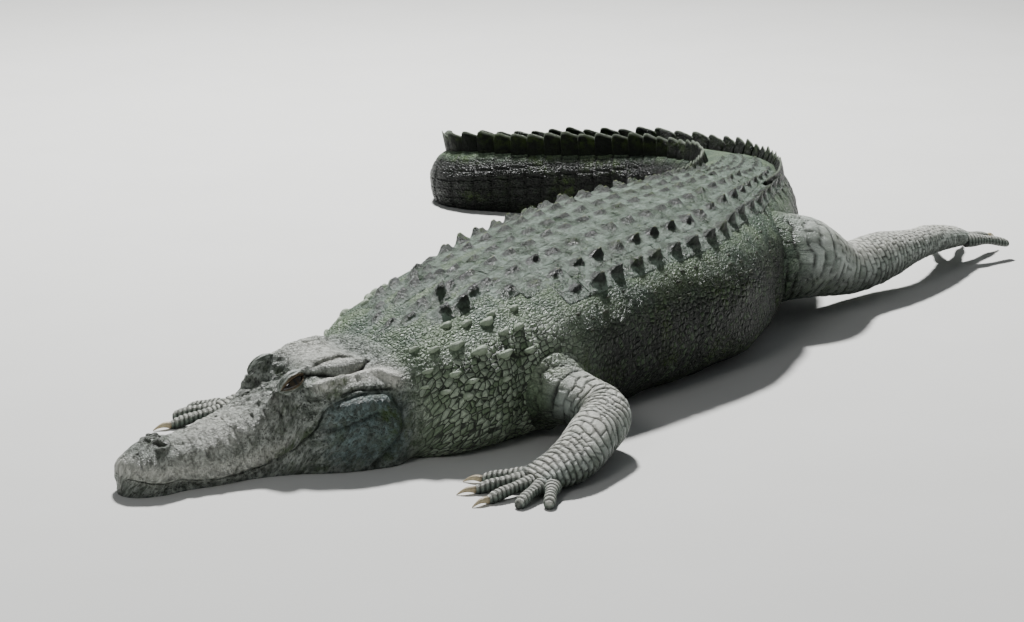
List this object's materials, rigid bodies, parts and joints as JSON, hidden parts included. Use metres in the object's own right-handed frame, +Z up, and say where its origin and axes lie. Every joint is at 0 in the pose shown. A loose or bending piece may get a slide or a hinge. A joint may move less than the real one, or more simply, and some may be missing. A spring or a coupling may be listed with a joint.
{
  "type": "american alligator",
  "caption": "Life-size alligator at rest, flat on its belly, with its head forward, legs out and tail curled round to one side.",
  "frame": {"origin": "middle of the model's own box, on the floor it lies on", "axes": "+Z up, the head points to -Y, the animal's left side is +X, the tail curls to -X"},
  "size_m": [1.5438, 2.3524, 0.2976],
  "materials": {
    "head_skin": "matt horny skin, grey-beige with darker mottling",
    "body_skin": "matt scaled skin, dark grey-green",
    "leg_skin": "matt banded scales, pale grey",
    "eye": "wet and glossy",
    "claw": "dull horn"
  },
  "bodies": {
    "root": {"claw_foot_left_1": "claw", "claw_foot_left_2": "claw", "claw_foot_left_3": "claw", "claw_foot_right_1": "claw", "claw_foot_right_2": "claw", "claw_foot_right_3": "claw", "claw_hand_left_1": "claw", "claw_hand_left_2": "claw", "claw_hand_left_3": "claw", "claw_hand_right_1": "claw", "claw_hand_right_2": "claw", "claw_hand_right_3": "claw", "eye_left": "eye", "eye_right": "eye", "foot_left": "leg_skin", "foot_right": "leg_skin", "forearm_left": "leg_skin", "forearm_right": "leg_skin", "hand_left": "leg_skin", "hand_right": "leg_skin", "head": "head_skin", "lower_jaw": "head_skin", "neck": "body_skin", "shank_left": "leg_skin", "shank_right": "leg_skin", "tail_1": "body_skin", "tail_2": "body_skin", "tail_3": "body_skin", "tail_4": "body_skin", "tail_5": "body_skin", "tail_6": "body_skin", "thigh_left": "leg_skin", "thigh_right": "leg_skin", "trunk_front": "body_skin", "trunk_rear": "body_skin", "upper_arm_left": "leg_skin", "upper_arm_right": "leg_skin"}
  },
  "joints": []
}
